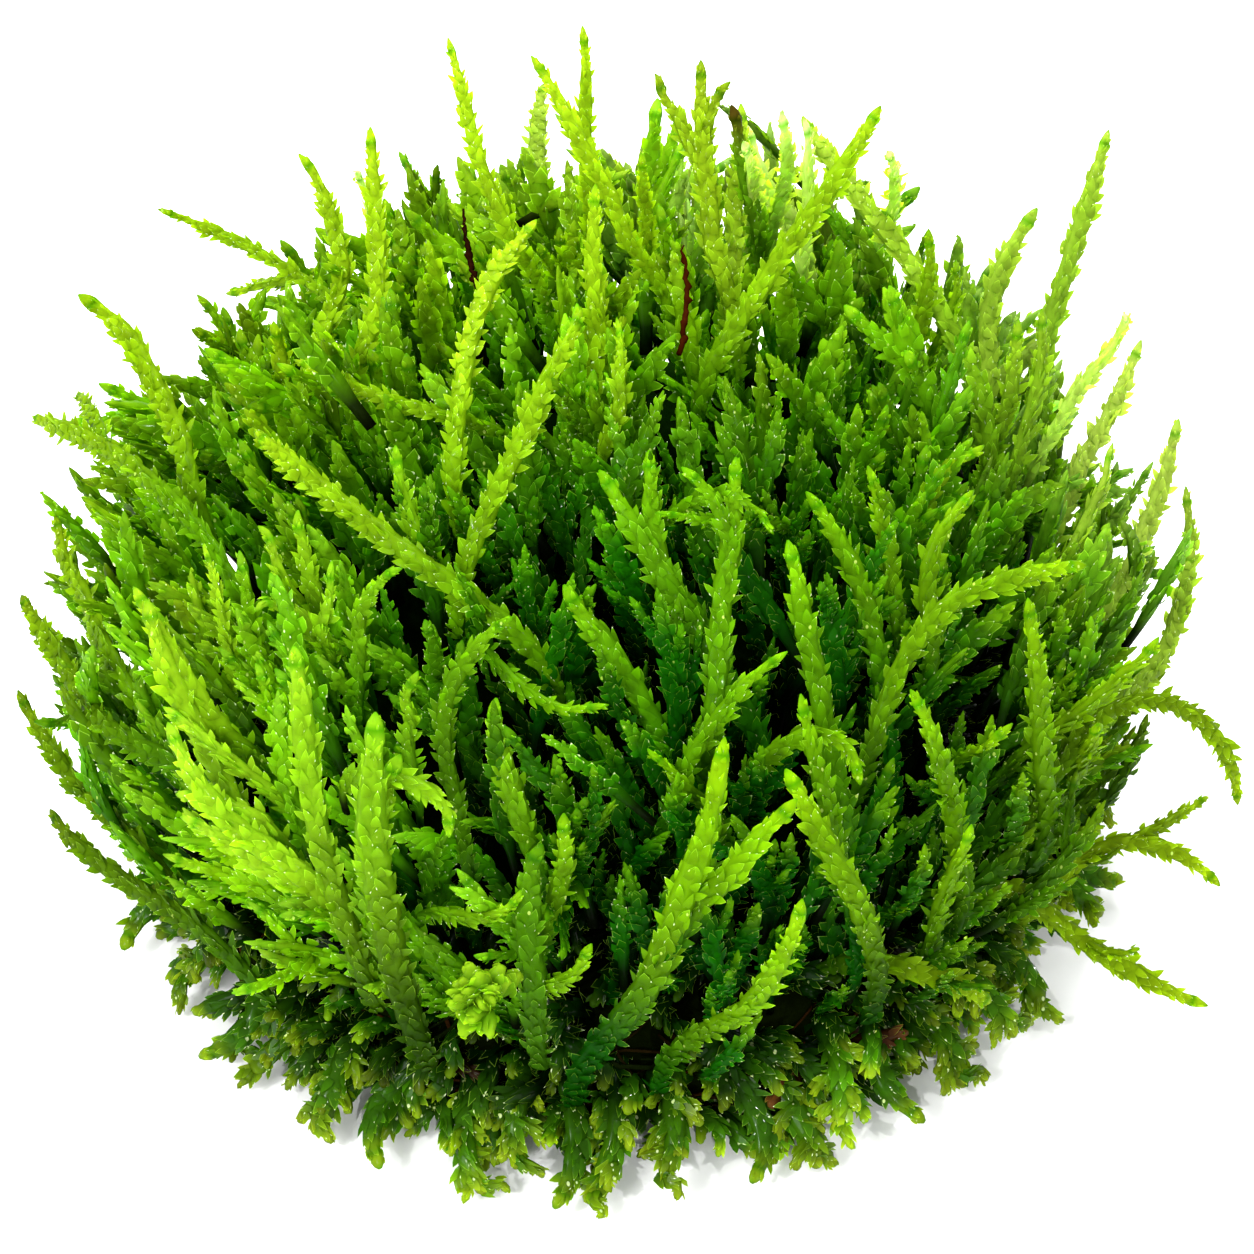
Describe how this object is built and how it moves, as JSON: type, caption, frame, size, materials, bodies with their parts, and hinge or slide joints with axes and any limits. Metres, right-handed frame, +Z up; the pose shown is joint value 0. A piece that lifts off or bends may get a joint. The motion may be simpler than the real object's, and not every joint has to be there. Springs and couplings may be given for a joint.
{
  "type": "moss clump",
  "caption": "Dome-shaped clump of damp feather moss, cut flat below: a mat of old stems, a dense cushion of short leafy shoots and longer shoots that stand off it.",
  "frame": {"origin": "middle of the flat cut at the base", "axes": "+Z up, -Y towards the front of the picture, +X to its right"},
  "size_m": [0.067, 0.0648, 0.0467],
  "materials": {
    "stem_mat": "wet brown stems and dead leaves, matted",
    "short_shoots": "moist translucent moss leaves, deep green inside and bright at the tips",
    "long_shoots": "moist translucent moss leaves, yellow-green, overlapping like scales",
    "foot_shoots": "wet olive-green moss leaves with a glossy film",
    "old_stems": "bare reddish-brown stem, dull"
  },
  "bodies": {
    "root": {"base_mat": "stem_mat", "cushion": "short_shoots", "crown_shoot_1": "long_shoots", "crown_shoot_2": "long_shoots", "crown_shoot_3": "long_shoots", "crown_shoot_4": "long_shoots", "crown_shoot_5": "long_shoots", "crown_shoot_6": "long_shoots", "crown_shoot_7": "long_shoots", "crown_shoot_8": "long_shoots", "crown_shoot_9": "long_shoots", "left_shoot_1": "long_shoots", "left_shoot_2": "long_shoots", "left_shoot_3": "long_shoots", "left_shoot_4": "long_shoots", "left_shoot_5": "long_shoots", "left_shoot_6": "long_shoots", "left_shoot_7": "long_shoots", "right_shoot_1": "long_shoots", "right_shoot_2": "long_shoots", "right_shoot_3": "long_shoots", "right_shoot_4": "long_shoots", "right_shoot_5": "long_shoots", "right_shoot_6": "long_shoots", "right_shoot_7": "long_shoots", "right_shoot_8": "long_shoots", "front_shoot_1": "long_shoots", "front_shoot_2": "long_shoots", "front_shoot_3": "long_shoots", "front_shoot_4": "long_shoots", "front_shoot_5": "long_shoots", "front_shoot_6": "long_shoots", "front_shoot_7": "long_shoots", "front_shoot_8": "long_shoots", "front_shoot_9": "long_shoots", "front_shoot_10": "long_shoots", "front_shoot_11": "long_shoots", "front_shoot_12": "long_shoots", "front_shoot_13": "long_shoots", "front_shoot_14": "long_shoots", "front_shoot_15": "long_shoots", "front_shoot_16": "long_shoots", "front_shoot_17": "long_shoots", "back_shoot_1": "long_shoots", "back_shoot_2": "long_shoots", "back_shoot_3": "long_shoots", "back_shoot_4": "long_shoots", "back_shoot_5": "long_shoots", "foot_shoot_1": "foot_shoots", "foot_shoot_2": "foot_shoots", "foot_shoot_3": "foot_shoots", "foot_shoot_4": "foot_shoots", "foot_shoot_5": "foot_shoots", "foot_shoot_6": "foot_shoots", "foot_shoot_7": "foot_shoots", "foot_shoot_8": "foot_shoots", "foot_shoot_9": "foot_shoots", "foot_shoot_10": "foot_shoots", "old_stem_1": "old_stems", "old_stem_2": "old_stems"}
  },
  "joints": []
}
